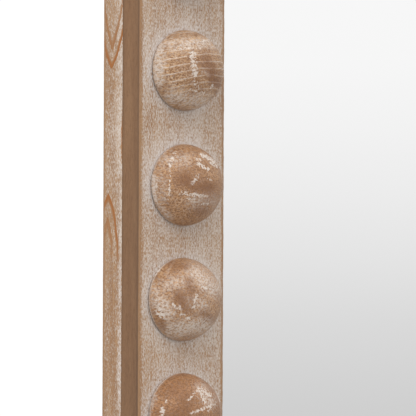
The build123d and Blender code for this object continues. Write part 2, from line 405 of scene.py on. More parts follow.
# Meshes
def new_piece(name, points, faces, materials, smooth=35.0):
    """A mesh object whose faces all look outwards, smooth but at its sharp edges."""
    mesh = bpy.data.meshes.new(name)
    mesh.from_pydata([tuple(p) for p in points], [], faces)
    shell = bmesh.new()
    shell.from_mesh(mesh)
    bmesh.ops.recalc_face_normals(shell, faces=shell.faces)
    shell.to_mesh(mesh)
    shell.free()
    for material in materials:
        mesh.materials.append(material)
    mesh.shade_smooth()
    mesh.set_sharp_from_angle(angle=math.radians(smooth))
    piece = bpy.data.objects.new(name, mesh)
    bpy.context.scene.collection.objects.link(piece)
    return piece


def add_layer(piece, name, values):
    """Stores a value, or a vector, at each point of the piece's mesh."""
    values = np.asarray(values, np.float32)
    vector = values.ndim == 2
    layer = piece.data.attributes.new(name, "FLOAT_VECTOR" if vector else "FLOAT", "POINT")
    layer.data.foreach_set("vector" if vector else "value", values.ravel())


def loft_faces(rings, around, ends="flat"):
    """Quads from each closed ring of points to the next.

    The ends are flat faces, fans to two points that follow the rings, or joined to each other.
    """
    faces = []
    for i in range(rings if ends == "joined" else rings - 1):
        following = (i + 1) % rings * around
        for j in range(around):
            k = (j + 1) % around
            faces.append((i * around + j, i * around + k, following + k, following + j))
    last = (rings - 1) * around
    if ends == "flat":
        faces += [tuple(range(around)), tuple(range(last, last + around))]
    elif ends == "fans":
        for tip, first in ((rings * around, 0), (rings * around + 1, last)):
            faces += [(tip, first + j, first + (j + 1) % around) for j in range(around)]
    return faces


def ripple(place, lengths, seed):
    """A smooth, uneven wave between -1 and 1, with humps of the given lengths."""
    draw = random.Random(seed)
    waves = [np.sin(2 * math.pi * (place / length + draw.random())) for length in lengths]
    return sum(waves) / len(waves)


def stretch(start, end, step=cell):
    """Points from start up to, but without, end."""
    start, end = np.array(start), np.array(end)
    count = max(1, math.ceil(np.linalg.norm(end - start) / step))
    return [start + (end - start) * i / count for i in range(count)]


def corner(centre, radius, first, last, steps=5):
    """Points on an arc, its angles in degrees from u towards v, without its last point."""
    angles = [math.radians(first + (last - first) * i / steps) for i in range(steps)]
    return [np.array((centre[0] + radius * math.cos(a), centre[1] + radius * math.sin(a))) for a in angles]


def cove(steps=18):
    """The hollow under the lip, from the back of the face board to the lip."""
    fall = face_thickness - lip_thickness
    chord = math.hypot(cove_depth, fall)
    points = []
    for i in range(steps):
        share = i / steps
        sink = 4 * cove_hollow * share * (1 - share)
        points.append(np.array((
            share * cove_depth + sink * fall / chord,
            face_thickness - share * fall + sink * cove_depth / chord,
        )))
    return points


def face_section():
    """A face board's outline across the grain."""
    e, w, d = arris_radius, face_width, face_thickness
    return np.array([
        *stretch((e, 0), (w - e, 0)),
        *corner((w - e, e), e, -90, 0),
        *stretch((w, e), (w, d - rebate_depth)),
        *stretch((w, d - rebate_depth), (w - rebate_width, d - rebate_depth)),
        *stretch((w - rebate_width, d - rebate_depth), (w - rebate_width, d)),
        *stretch((w - rebate_width, d), (0, d), 3 * cell),
        *cove(),
        *stretch((cove_depth, lip_thickness), (0, lip_thickness)),
        *stretch((0, lip_thickness), (0, e), cell / 3),
        *corner((e, e), e, 180, 270),
    ])


def back_section():
    """A back board's outline across the grain."""
    e, small = back_arris, back_front_arris
    w, near, far = back_width, face_thickness, frame_depth
    return np.array([
        *stretch((0, far - e), (0, near + small), cell / 2),
        *corner((small, near + small), small, 180, 270, 3),
        *stretch((small, near), (w, near), 2 * cell),
        *stretch((w, near), (w, far - e), cell),
        *corner((w - e, far - e), e, 0, 90),
        *stretch((w - e, far), (e, far), cell),
        *corner((e, far - e), e, 90, 180),
    ])


def rise_point(s, u):
    """X and Z at length s and inset u, up the left side, round the arch and down the right side."""
    turn = np.clip((s - spring_height) / centre_radius, 0, math.pi)
    past = np.maximum(s - spring_height - arch_length, 0)
    x = -(half_width - u) * np.cos(turn)
    z = np.minimum(s, spring_height) + (half_width - u) * np.sin(turn) - past
    return x, z


def foot_point(s, u):
    """X and Z at length s and inset u along the foot."""
    return s, u


def stud_centres(node):
    """X and Z of each half ball in a node, from its foremost point."""
    points = np.array([v.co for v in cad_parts[node].data.vertices])
    tips = points[points[:, 1] < points[:, 1].min() + 0.1 * mm]
    return sorted({(round(x, 5), round(z, 5)) for x, y, z in tips.tolist()}, key=lambda c: (c[1], c[0]))


stud_nodes = ("left_studs", "right_studs", "bottom_studs", "arch_studs")
stud_places = {node: stud_centres(node) for node in stud_nodes}
stud_radius = front_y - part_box("left_studs")[0].y
every_stud = np.array([place for places in stud_places.values() for place in places])


def near_studs(x, z):
    """How near each point is to the rim of a half ball: 1 at the rim and 0 far from it; weaker below the
    ball, a painted shade where the ball's shadow falls.
    """
    near = np.zeros(x.shape)
    reach = 8 * mm
    for cx, cz in every_stud:
        gap = np.hypot(x - cx, z - cz) - stud_radius
        # Painted shade: the whitewash halo fades below each ball, where its shadow falls.
        shade_below = np.clip((cz - z) / stud_radius, 0, 1)
        near = np.maximum(near, np.exp(-np.abs(gap) / reach) * (1 - 0.35 * shade_below ** 2))
    return near


def inward(section):
    """For each point of a closed outline, the way to its inside."""
    along = np.roll(section, -1, axis=0) - np.roll(section, 1, axis=0)
    along /= np.linalg.norm(along, axis=1)[:, None]
    normal = np.stack([-along[:, 1], along[:, 0]], axis=1)
    following = np.roll(section, -1, axis=0)
    area = np.sum(section[:, 0] * following[:, 1] - following[:, 0] * section[:, 1])
    return normal * math.copysign(1, area)


def close_to(u, v, corners, reach):
    """1 on the given corners of the section, falling to 0 away from them."""
    gap = np.min([np.hypot(u - cu, v - cv) for cu, cv in corners], axis=0)
    return np.exp(-((gap / reach) ** 2))


# The growth rings on the outer side of the left back board, where the photograph shows them: how deep
# the tree's heart lies behind that side, at rows of the photograph. A ring shows as a V where its radius
# is that depth. The heart's middle also drifts from row to row.
heart_rows = (-60, 1, 29, 54, 72, 101, 130, 162, 190, 211, 243, 300, 380, 470)
heart_depths = (4, 7, 14, 21, 28, 33, 35, 33, 28, 21, 14.5, 11, 13, 22)
heart_middle = face_thickness + 17.3 * mm
heart_slope = 0.031 * mm
heart_middle_row = 130
side_ring = 7 * mm
face_ring = 3.4 * mm


def rows_at(s):
    """The rows of the photograph that show the given heights on the left side."""
    return photo_side / 2 - (s - photo_height) / pixel


def side_rings(u, v, s, seed, seen):
    """Growth rings of a back board that was sawn beside the heart of its tree."""
    depth = (19 + 15 * ripple(s, (0.63, 0.27, 0.11), seed)) * mm
    if seen:
        inside = (s > height_of_row(heart_rows[-1])) & (s < height_of_row(heart_rows[0]))
        depth = np.where(inside, np.interp(rows_at(s), heart_rows, heart_depths) * mm, depth)
        middle = heart_middle + heart_slope * (np.clip(rows_at(s), 0, photo_side) - heart_middle_row)
    else:
        middle = heart_middle + 9 * mm * ripple(s, (0.9, 0.4), seed + 1)
    across = np.abs(v - middle)
    bend = 1.2
    return (across ** bend + np.abs(depth + u) ** bend) ** (1 / bend) / side_ring


def face_rings(u, v, s, seed):
    """Growth rings of a face board, whose grain runs straight along it."""
    draw = random.Random(seed)
    heart_u = draw.choice((-1, 1)) * draw.uniform(0.11, 0.19) + face_width / 2
    heart_v = draw.uniform(0.05, 0.12)
    drift = 5 * mm * ripple(s, (1.1, 0.37, 0.13), seed)
    return np.hypot(u - heart_u - drift, v + heart_v) / face_ring


def make_board(name, section, point, begin, end, rings_of, finish_of, wear, grain, seed):
    """Draws a section along the frame from begin to end, which depend on the inset, with worn arrises.

    wear is how deep the wear goes, and grain how fine the grain is beside that of the face boards.
    """
    u, v = section[:, 0], section[:, 1]
    length = float(np.max(end(u) - begin(u)))
    count = math.ceil(length / ring_step)
    shares = np.linspace(0, 1, count + 1)
    slack = joint_ease / length
    near_end = np.array([0.3, 1.3]) * slack
    shares = np.concatenate([near_end, shares[1:-1], 1 - near_end[::-1]])[:, None]
    s = begin(u) + (end(u) - begin(u)) * shares
    u, v = np.broadcast_to(u, s.shape), np.broadcast_to(v, s.shape)

    finish = finish_of(u, v, s, seed)
    into = inward(section)
    worn_in = finish["worn"] * wear * (1 + 0.8 * ripple(s, (0.061, 0.023, 0.0085), seed))
    worn_in[[0, -1]] += joint_ease
    x, z = point(s, u + worn_in * into[:, 0])
    y = front_y + v + worn_in * into[:, 1]

    points = np.stack([x, y, z], axis=-1).reshape(-1, 3)
    piece = new_piece(name, points, loft_faces(len(shares), len(section)), [pine])
    draw = random.Random(seed)
    shift = [draw.uniform(0, 2) for _ in range(3)]
    add_layer(piece, "timber", (np.stack([u, v, s], axis=-1) * grain + shift).reshape(-1, 3))
    add_layer(piece, "ring", rings_of(u, v, s, seed).ravel())
    for key in ("wash", "worn", "paint", "shade", "figure"):
        add_layer(piece, key, finish[key].ravel())
    add_layer(piece, "halo", (near_studs(x, z) * (v < 1 * mm) + finish["halo"]).ravel())
    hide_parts(name.replace("pine_", ""))
    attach(piece, "frame")


def face_finish(u, v, s, seed):
    """Where a face board is whitewashed, worn and painted plain brown, and where painted shade darkens the
    brown of its cove.
    """
    worn = close_to(u, v, [(0, 0), (face_width, 0)], 2.0 * mm)
    front = v < 0.7 * mm
    inner_edge = (u > face_width - 0.5 * mm) & ~front
    wash = np.where(front, 0.43 + 0.1 * u / face_width, np.where(inner_edge, 0.4, 0.0))
    paint = np.where(front | inner_edge, 0.0, 1.0)
    # Painted shade: the cove's brown darkens towards the lip that hangs over it and towards the crevice at
    # the back board.
    lip_shade_and_low_dark = 0.46 * np.exp(-np.clip(v - lip_thickness, 0, None) / (8 * mm))
    # The cove's brown is also painted darker towards the bottom.
    lip_shade_and_low_dark = lip_shade_and_low_dark + 0.14 * np.clip((photo_height + 0.1 - s) / 0.3, 0, 1)
    crevice_shade = 0.5 * np.exp(-np.clip(face_thickness - v, 0, None) / (0.9 * mm))
    shade = np.where(u < 2 * cove_depth, np.maximum(lip_shade_and_low_dark, crevice_shade) * paint, 0.0)
    figure = np.full_like(wash, 0.09)
    return {"wash": wash, "worn": worn, "paint": paint, "shade": shade, "figure": figure, "halo": 0 * wash}


def back_finish(u, v, s, seed):
    """Where a back board is whitewashed, worn and painted plain brown."""
    worn = close_to(u, v, [(0, frame_depth)], 2.3 * mm)
    side = (u < 0.6 * mm) | ((v > frame_depth - 1.2 * mm) & (u < 1.2 * mm))
    run = 0.7 + 0.3 * ripple(s, (0.21, 0.083, 0.031), seed + 5)
    band = np.exp(-(((v - face_thickness) / (9 * mm)) ** 2)) * run
    wash = np.where(side, 0.16 + 0.6 * band, 0.0)
    paint = np.where(side, 0.0, 1.0)
    none = np.zeros_like(wash)
    return {"wash": wash, "worn": worn, "paint": paint, "shade": none, "figure": 1 - paint, "halo": none}


def seen_finish(u, v, s, seed):
    """The left back board as the photograph shows it: plainer low down, with a white strip at its front."""
    finish = back_finish(u, v, s, seed)
    plain = np.clip((height_of_row(236) - s) / (28 * pixel), 0, 1) * (s > height_of_row(480))
    left = np.exp(-(((v - face_thickness - 2.4 * mm) / (3.4 * mm)) ** 2))
    left = left * (0.75 + 0.25 * ripple(s, (0.07, 0.029), seed))
    side = finish["paint"] < 0.5
    wash = finish["wash"] * (1 - 0.9 * plain) + 0.42 * left * (0.3 + 0.7 * plain)
    finish["wash"] = np.where(side, wash, 0.0)
    finish["halo"] = np.where(side, 0.8 * left * (0.2 + 0.8 * plain), 0.0)
    finish["figure"] = finish["figure"] * (1 - 0.93 * plain)
    return finish


crown_length = spring_height + crown_start * centre_radius
crown_far = spring_height + arch_length - crown_start * centre_radius
arch_middle = spring_height + arch_length / 2
far_spring = spring_height + arch_length


def at(length):
    """The same length at every inset, for a board that isn't mitred there."""
    return lambda u: np.full_like(u, length)


face_boards = {
    "left_face_board": (rise_point, lambda u: u, at(spring_height)),
    "left_arch_face": (rise_point, at(spring_height), at(crown_length)),
    "crown_arch_face": (rise_point, at(crown_length), at(crown_far)),
    "right_arch_face": (rise_point, at(crown_far), at(far_spring)),
    "right_face_board": (rise_point, at(far_spring), lambda u: rise_length - u),
    "bottom_face_board": (foot_point, lambda u: u - half_width, lambda u: half_width - u),
}
back_boards = {
    "left_side_board": (rise_point, at(0.0), at(side_board_top)),
    "left_arch_back": (rise_point, at(side_board_top), at(arch_middle)),
    "right_arch_back": (rise_point, at(arch_middle), at(rise_length - side_board_top)),
    "right_side_board": (rise_point, at(rise_length - side_board_top), at(rise_length)),
    "bottom_back_board": (foot_point, at(back_width - half_width), at(half_width - back_width)),
}
face_wear, face_grain = 0.28 * mm, 1.0
back_wear, back_grain = 0.1 * mm, 1.05

for seed, (node, (point, begin, end)) in enumerate(face_boards.items(), 11):
    make_board(
        f"pine_{node}", face_section(), point, begin, end, face_rings, face_finish,
        face_wear, face_grain, seed,
    )


def rings_for(node):
    return lambda u, v, s, seed: side_rings(u, v, s, seed, node == "left_side_board")


for seed, (node, (point, begin, end)) in enumerate(back_boards.items(), 31):
    finish = seen_finish if node == "left_side_board" else back_finish
    make_board(
        f"pine_{node}", back_section(), point, begin, end, rings_for(node), finish,
        back_wear, back_grain, seed,
    )


# Half balls. A stroke is where it starts and ends, its width and its strength. Its places are in radii to
# the right of the half ball's middle and up from it, as the photograph looks at it. A shift is in mm.
seen_looks = {
    7: {
        "shift": (0.9, 0.0), "size": 1.0,
        "tone": 0.15, "lines": 0.75, "heart": (0.3, -2.7), "spacing": 0.17,
        "scuffs": [
            (0.22, 0.40, 0.29, -0.12, 0.07, 0.75), (0.30, -0.30, 0.36, -0.42, 0.06, 0.6),
            (0.38, 0.68, 0.66, 0.75, 0.04, 0.7), (-0.20, 0.60, 0.60, 0.71, 0.02, 0.7),
            (-0.28, 0.51, 0.43, 0.54, 0.018, 0.8), (0.18, -0.48, 0.49, -0.57, 0.05, 0.6),
            (0.72, -0.36, 0.62, -0.56, 0.04, 0.5),
        ],
        "veils": [
            (-0.60, 0.55, -0.62, -0.30, 0.13, 0.75), (0.50, -0.05, 0.62, -0.12, 0.05, 0.5),
            (-0.30, -0.68, 0.50, -0.78, 0.17, 0.62), (-0.45, 0.62, 0.65, 0.66, 0.17, 0.48),
        ],
        "stains": [(0.54, 0.25, 0.80, -0.30, 0.18, 0.95), (0.10, 0.05, 0.35, -0.40, 0.22, 0.5)],
    },
    6: {
        "shift": (0.4, 0.0), "size": 1.012,
        "tone": 0.50, "lines": 0.15, "heart": (1.6, 0.9), "spacing": 0.15,
        "scuffs": [
            (0.49, 0.74, 0.80, 0.57, 0.05, 0.8), (0.39, 0.53, 0.63, 0.38, 0.04, 0.75),
            (0.72, 0.55, 0.84, 0.48, 0.06, 0.7), (0.24, 0.65, 0.49, 0.61, 0.018, 0.7),
            (-0.20, 0.80, -0.30, 0.49, 0.05, 0.6), (-0.29, 0.38, -0.33, -0.38, 0.022, 0.6),
            (0.39, 0.22, 0.26, 0.04, 0.035, 0.75), (0.62, 0.15, 0.71, 0.12, 0.025, 0.6),
            (-0.05, -0.20, 0.61, -0.28, 0.04, 0.75), (0.10, -0.34, 0.34, -0.37, 0.02, 0.7),
            (0.45, -0.48, 0.70, -0.44, 0.03, 0.6),
        ],
        "veils": [
            (-0.72, 0.20, -0.68, -0.38, 0.09, 0.9), (-0.62, -0.45, -0.32, -0.80, 0.08, 0.5),
            (0.30, -0.42, 0.72, -0.38, 0.16, 0.5), (-0.50, 0.62, 0.05, 0.62, 0.17, 0.36),
            (-0.50, 0.15, -0.45, -0.35, 0.12, 0.3),
        ],
        "stains": [(0.02, 0.12, 0.62, -0.10, 0.19, 0.9), (0.70, -0.30, 0.40, -0.62, 0.16, 0.7)],
    },
    5: {
        "shift": (-1.1, 0.2), "size": 1.033,
        "tone": 0.45, "lines": 0.3, "heart": (0.25, 0.05), "spacing": 0.16,
        "scuffs": [
            (-0.62, -0.25, -0.46, -0.46, 0.03, 0.9), (-0.52, -0.22, -0.38, -0.44, 0.03, 0.8),
            (-0.17, -0.13, -0.02, -0.19, 0.05, 0.8), (0.40, 0.12, 0.31, -0.19, 0.045, 0.75),
            (0.50, 0.35, 0.64, 0.27, 0.03, 0.8), (0.05, -0.36, 0.22, -0.44, 0.05, 0.6),
            (-0.72, 0.52, -0.48, 0.78, 0.03, 0.8),
        ],
        "veils": [
            (0.35, 0.68, 0.82, 0.25, 0.20, 0.65), (-0.50, -0.05, -0.28, -0.32, 0.15, 0.75),
            (-0.20, -0.75, 0.60, -0.62, 0.20, 0.75), (-0.62, 0.30, -0.60, -0.10, 0.14, 0.4),
            (-0.35, 0.35, 0.05, 0.45, 0.16, 0.4), (0.30, -0.05, 0.55, -0.15, 0.16, 0.5),
        ],
        "stains": [
            (-0.27, 0.88, 0.14, 0.80, 0.08, 0.7), (0.20, 0.47, 0.27, -0.05, 0.10, 0.7),
            (0.00, 0.12, 0.12, -0.15, 0.15, 0.8), (-0.45, -0.52, -0.40, -0.72, 0.06, 0.7),
            (0.55, -0.30, 0.75, -0.48, 0.10, 0.6),
        ],
    },
    4: {
        "shift": (-0.5, 0.2), "size": 1.015,
        "tone": 0.85, "lines": 0.1, "heart": (-1.4, 1.0), "spacing": 0.16,
        "scuffs": [
            (0.18, 0.36, 0.45, 0.66, 0.022, 0.9), (0.47, 0.64, 0.74, 0.48, 0.06, 0.8),
            (0.52, 0.52, 0.60, 0.34, 0.05, 0.7), (0.27, 0.06, 0.75, 0.24, 0.03, 0.9),
            (0.68, 0.14, 0.86, 0.26, 0.04, 0.7), (-0.44, 0.14, -0.48, -0.06, 0.05, 0.8),
            (-0.36, 0.36, -0.34, 0.33, 0.03, 0.7),
        ],
        "veils": [(0.50, 0.62, 0.75, 0.30, 0.14, 0.5), (-0.80, 0.05, -0.62, 0.45, 0.06, 0.5)],
        "stains": [(-0.10, 0.62, 0.15, 0.40, 0.18, 0.5), (-0.3, -0.1, 0.1, 0.15, 0.18, 0.6)],
    },
}


stroke_spread = 1.2
rim_height, rim_spread = 1.9 * mm, 1.3 * mm
# How high the painted crease shade reaches up the ball's foot.
crease_shade_height = 1.5 * mm


def drawn_strokes(draw, count, widths, strengths):
    """Strokes at random over the half ball."""
    strokes = []
    for _ in range(count):
        turn, reach = draw.uniform(0, 2 * math.pi), 0.85 * math.sqrt(draw.random())
        way = draw.uniform(0, math.pi)
        x, y, length = reach * math.cos(turn), reach * math.sin(turn), draw.uniform(0.08, 0.5)
        end = (x + length * math.cos(way), y + length * math.sin(way))
        strokes.append((x, y, *end, draw.uniform(*widths), draw.uniform(*strengths)))
    return strokes


def drawn_look(draw):
    turn, reach = draw.uniform(0, 2 * math.pi), draw.uniform(0.2, 2.8)
    return {
        "tone": draw.uniform(0.1, 0.9), "lines": draw.choice((0.1, 0.2, 0.4, 0.9)),
        "heart": (reach * math.cos(turn), reach * math.sin(turn)), "spacing": draw.uniform(0.14, 0.2),
        "scuffs": drawn_strokes(draw, 8, (0.02, 0.06), (0.6, 0.9)),
        "veils": drawn_strokes(draw, 4, (0.08, 0.22), (0.4, 0.8)),
        "stains": drawn_strokes(draw, 2, (0.08, 0.2), (0.5, 0.8)),
        "shift": (draw.uniform(-0.5, 0.5), draw.uniform(-0.5, 0.5)), "size": draw.uniform(0.99, 1.01),
    }


def strokes_at(strokes, x, y):
    """How strongly any of the strokes marks each point."""
    mark = np.zeros_like(x)
    for x0, y0, x1, y1, width, strength in strokes:
        dx, dy = x1 - x0, y1 - y0
        share = np.clip(((x - x0) * dx + (y - y0) * dy) / (dx * dx + dy * dy), 0, 1)
        gap = np.hypot(x - x0 - share * dx, y - y0 - share * dy) / stroke_spread
        mark = np.maximum(mark, strength * np.exp(-((gap / width) ** 2)))
    return mark


def make_half_ball(name, node, centre, look, seed):
    """One turned half ball, glued flat on the face, with its own grain, whitewash, small unevenness and a
    painted shade in the crease at its foot on the lower left.
    """
    draw = random.Random(seed)
    around, rings, rim_round = 120, 46, 1.2 * mm
    first = math.asin(rim_round / stud_radius)
    lifts = np.linspace(first, math.pi / 2, rings)[:-1]
    rim_reach = [stud_radius - rim_round, stud_radius - 0.35 * rim_round]
    reach = np.concatenate([rim_reach, stud_radius * np.cos(lifts)])
    height = np.concatenate([[0.0, 0.3 * rim_round], stud_radius * np.sin(lifts)])
    turns = np.linspace(0, 2 * math.pi, around, endpoint=False)
    uneven = 1 - 0.004 * (1 + ripple(turns, (2 * math.pi, math.pi, 2 * math.pi / 5), seed)) / 2
    a = reach[:, None] * np.cos(turns) * uneven * look["size"]
    c = reach[:, None] * np.sin(turns) * uneven * look["size"]
    f = np.broadcast_to(height[:, None], a.shape) * (1 - 0.006 * draw.random())
    local = np.stack([a, f, c], axis=-1).reshape(-1, 3)
    local = np.concatenate([local, [[0, 0, 0], [0, stud_radius * 0.995, 0]]])
    right, up = look["shift"]
    points = local * (1, -1, 1) + (centre[0] + right * mm, front_y, centre[1] + up * mm)
    faces = loft_faces(len(reach), around, "fans")
    piece = new_piece(name, points, faces, [half_ball], smooth=60)

    a, f, c = (local / stud_radius).T
    seen_x = a * math.cos(view_turn) + f * math.sin(view_turn)
    far_x = -a * math.cos(view_turn) + f * math.sin(view_turn)
    hidden = np.clip(0.5 + 4 * (a * math.sin(view_turn) - f * math.cos(view_turn)), 0, 1)
    far_look = drawn_look(draw)
    for layer, key in (("scuff", "scuffs"), ("veil", "veils"), ("stain", "stains")):
        near_marks, far_marks = strokes_at(look[key], seen_x, c), strokes_at(far_look[key], far_x, c)
        add_layer(piece, layer, near_marks * (1 - hidden) + far_marks * hidden)
    heart = look["heart"]
    ring = np.hypot(a - heart[0] + 0.15 * f, c - heart[1] + 0.08 * f) / look["spacing"]
    add_layer(piece, "ring", ring + draw.uniform(0, 9))
    shift = [draw.uniform(0, 2) for _ in range(3)]
    add_layer(piece, "timber", local[:, [0, 2, 1]] + shift)
    add_layer(piece, "tone", np.full(len(local), look["tone"]))
    add_layer(piece, "lines", np.full(len(local), look["lines"]))
    rise = f * stud_radius
    rim = np.exp(-(((rise - rim_height) / rim_spread) ** 2))
    add_layer(piece, "rim", rim * draw.uniform(0.65, 0.95))
    # Painted shade: a dark band at the foot of the ball on its lower left, where its contact shadow falls.
    lower_left_shade = np.clip(0.2 - 1.1 * c - 0.5 * a, 0, 1)
    add_layer(piece, "seam", np.exp(-((rise / crease_shade_height) ** 2)) * lower_left_shade)
    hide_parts(node)
    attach(piece, "frame")


for node, places in stud_places.items():
    for i, centre in enumerate(places):
        seed = f"{node} {i}"
        look = drawn_look(random.Random(seed))
        if node == "left_studs" and i in seen_looks:
            look = seen_looks[i]
        make_half_ball(f"{node[:-1]}_{i + 1:02d}", node, centre, look, seed)


# Mirror glass
def arched_ring(inset, depth, step=4 * mm):
    """Points round the mirror's outline, drawn in by an inset, at a depth behind the face."""
    radius = half_width - inset
    steps = math.ceil(math.pi * radius / step)
    arc = [(-radius * math.cos(math.pi * i / steps), math.pi * i / steps) for i in range(steps + 1)]
    points = [(x, spring_height + radius * math.sin(turn)) for x, turn in arc]
    points += [(radius, inset), (-radius, inset)]
    return [(x, front_y + depth, z) for x, z in points]


def make_glass():
    """A silvered sheet with ground edges, which are seamed to a small chamfer at the front."""
    inset = glass_low.x + half_width
    depth, thickness, seam = glass_low.y - front_y, glass_high.y - glass_low.y, 0.5 * mm
    rings = [
        arched_ring(inset + seam, depth),
        arched_ring(inset, depth + seam),
        arched_ring(inset, depth + thickness),
    ]
    around = len(rings[0])
    materials = [silver, glass_edge, glass_back]
    piece = new_piece("silvered_glass", sum(rings, []), loft_faces(len(rings), around), materials)
    for face in piece.data.polygons:
        if len(face.vertices) == 4:
            face.material_index = 1
        elif face.center.y > glass_low.y + thickness / 2:
            face.material_index = 2
    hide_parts("mirror_glass")
    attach(piece, "frame")


make_glass()


# Fittings
bumper_ring = half_width - back_width / 2
strap_thickness = 1.2 * mm
strap_corner = 3 * mm
ring_bar_radius = 1.5 * mm
ring_wire_width = 3.5 * mm
ring_thickness = 2.6 * mm
ring_bend = 2.2 * mm


def place(points, centre):
    """Points given across, behind and up from a centre."""
    return [(centre[0] + x, centre[1] + y, centre[2] + z) for x, y, z in points]


def make_screw(name, centre, head_radius, head_height, shank_radius, length, turn):
    """A pan-headed wood screw with a cross recess, driven in until its head sits at centre."""
    around = 48
    profile = [(0.3 * shank_radius, -length), (0.8 * shank_radius, 3 * shank_radius - length)]
    profile += [(shank_radius, 5 * shank_radius - length), (shank_radius, 0.0), (0.94 * head_radius, 0.0)]
    profile += [(head_radius, 0.12 * head_height), (head_radius, 0.42 * head_height)]
    for i in range(1, 16):
        rise = math.pi / 2 * i / 16
        profile.append((head_radius * math.cos(rise), head_height * (0.42 + 0.58 * math.sin(rise) ** 0.8)))
    points = []
    for radius, height in profile:
        for j in range(around):
            angle = 2 * math.pi * j / around
            x, z = radius * math.cos(angle), radius * math.sin(angle)
            arm = min(abs(x), abs(z)) < 0.13 * head_radius and height > 0.6 * head_height
            sink = 0.75 * head_height * max(0.0, 1 - radius / (0.62 * head_radius)) ** 0.5 if arm else 0.0
            twist = (x * math.cos(turn) - z * math.sin(turn), x * math.sin(turn) + z * math.cos(turn))
            points.append((twist[0], height - sink, twist[1]))
    points = place(points, centre)
    points.append((centre[0], centre[1] - length, centre[2]))
    points.append((centre[0], centre[1] + 0.25 * head_height, centre[2]))
    piece = new_piece(name, points, loft_faces(len(profile), around, "fans"), [zinc], smooth=40)
    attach(piece, "frame")
    return piece


def rounded_ring(width, height, corner_radius, steps=5):
    """Points round a rectangle with rounded corners."""
    points = []
    for sx, sz, first in ((1, 1, 0), (-1, 1, 90), (-1, -1, 180), (1, -1, 270)):
        cx, cz = sx * (width / 2 - corner_radius), sz * (height / 2 - corner_radius)
        for i in range(steps + 1):
            turn = math.radians(first + 90 * i / steps)
            points.append((cx + corner_radius * math.cos(turn), cz + corner_radius * math.sin(turn)))
    return points


def make_bumper(name, centre):
    """A moulded rubber foot with drafted sides, a rounded rim and a dished face."""
    low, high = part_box("wall_bumpers")
    size, height = high.x - low.x - 2 * bumper_ring, high.y - back_y
    draft, rim = 0.35 * mm, 1.2 * mm
    profile = [(0.0, 0.0), (0.0, 0.3 * mm), (draft, height - rim)]
    for i in range(1, 6):
        turn = math.pi / 2 * i / 5
        profile.append((draft + rim * (1 - math.cos(turn)), height - rim * (1 - math.sin(turn))))
    profile += [(2.6 * mm, height), (4.2 * mm, height - 0.5 * mm), (6.5 * mm, height - 0.7 * mm)]
    points = []
    for inset, depth in profile:
        around = rounded_ring(size - 2 * inset, size - 2 * inset, max(3 * mm - 0.4 * inset, 0.5 * mm))
        points += [(x, depth, z) for x, z in around]
    count = len(rounded_ring(1, 1, 0.1))
    piece = new_piece(name, place(points, centre), loft_faces(len(profile), count), [rubber], smooth=30)
    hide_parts("wall_bumpers")
    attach(piece, "frame")


def sweep(path, sideways, sections):
    """Closed rings of points along a path. A section's pairs go to the path's side and along its normal."""
    points = []
    for i, at_point in enumerate(path):
        before, after = path[max(i - 1, 0)], path[min(i + 1, len(path) - 1)]
        along = (after - before).normalized()
        normal = along.cross(sideways).normalized()
        points += [tuple(at_point + sideways * a + normal * b) for a, b in sections[i]]
    return points


def make_strap(name, side):
    """A steel strap with rounded corners, rolled round the bar of its ring."""
    low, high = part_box(f"{side}_hanger_strap")
    middle = (low.x + high.x) / 2
    width, thick = high.x - low.x, strap_thickness
    radius = (high.y - low.y - thick) / 2
    flat_y = low.y + thick / 2
    axis = Vector((middle, flat_y + radius, high.z - radius - thick / 2))
    corner_steps, flat_steps, roll_steps, roll_turn = 6, 9, 30, 300
    path, widths = [], []
    for i in range(corner_steps + 1):
        rise = strap_corner * (1 - math.cos(math.pi / 2 * i / corner_steps))
        path.append(Vector((middle, flat_y, low.z + rise)))
        reach = math.sqrt(max(strap_corner ** 2 - (strap_corner - rise) ** 2, 0))
        widths.append(width - 2 * (strap_corner - reach))
    for i in range(1, flat_steps + 1):
        share = i / flat_steps
        path.append(Vector((middle, flat_y, (low.z + strap_corner) * (1 - share) + axis.z * share)))
        widths.append(width)
    for i in range(1, roll_steps + 1):
        turn = math.radians(roll_turn * i / roll_steps)
        path.append(axis + Vector((0, -radius * math.cos(turn), radius * math.sin(turn))))
        widths.append(width)
    sections = [rounded_ring(w, thick, 0.35 * mm, 3) for w in widths]
    points = sweep(path, Vector((1, 0, 0)), sections)
    piece = new_piece(name, points, loft_faces(len(path), len(sections[0])), [zinc], smooth=40)
    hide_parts(f"{side}_hanger_strap")
    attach(piece, "frame")


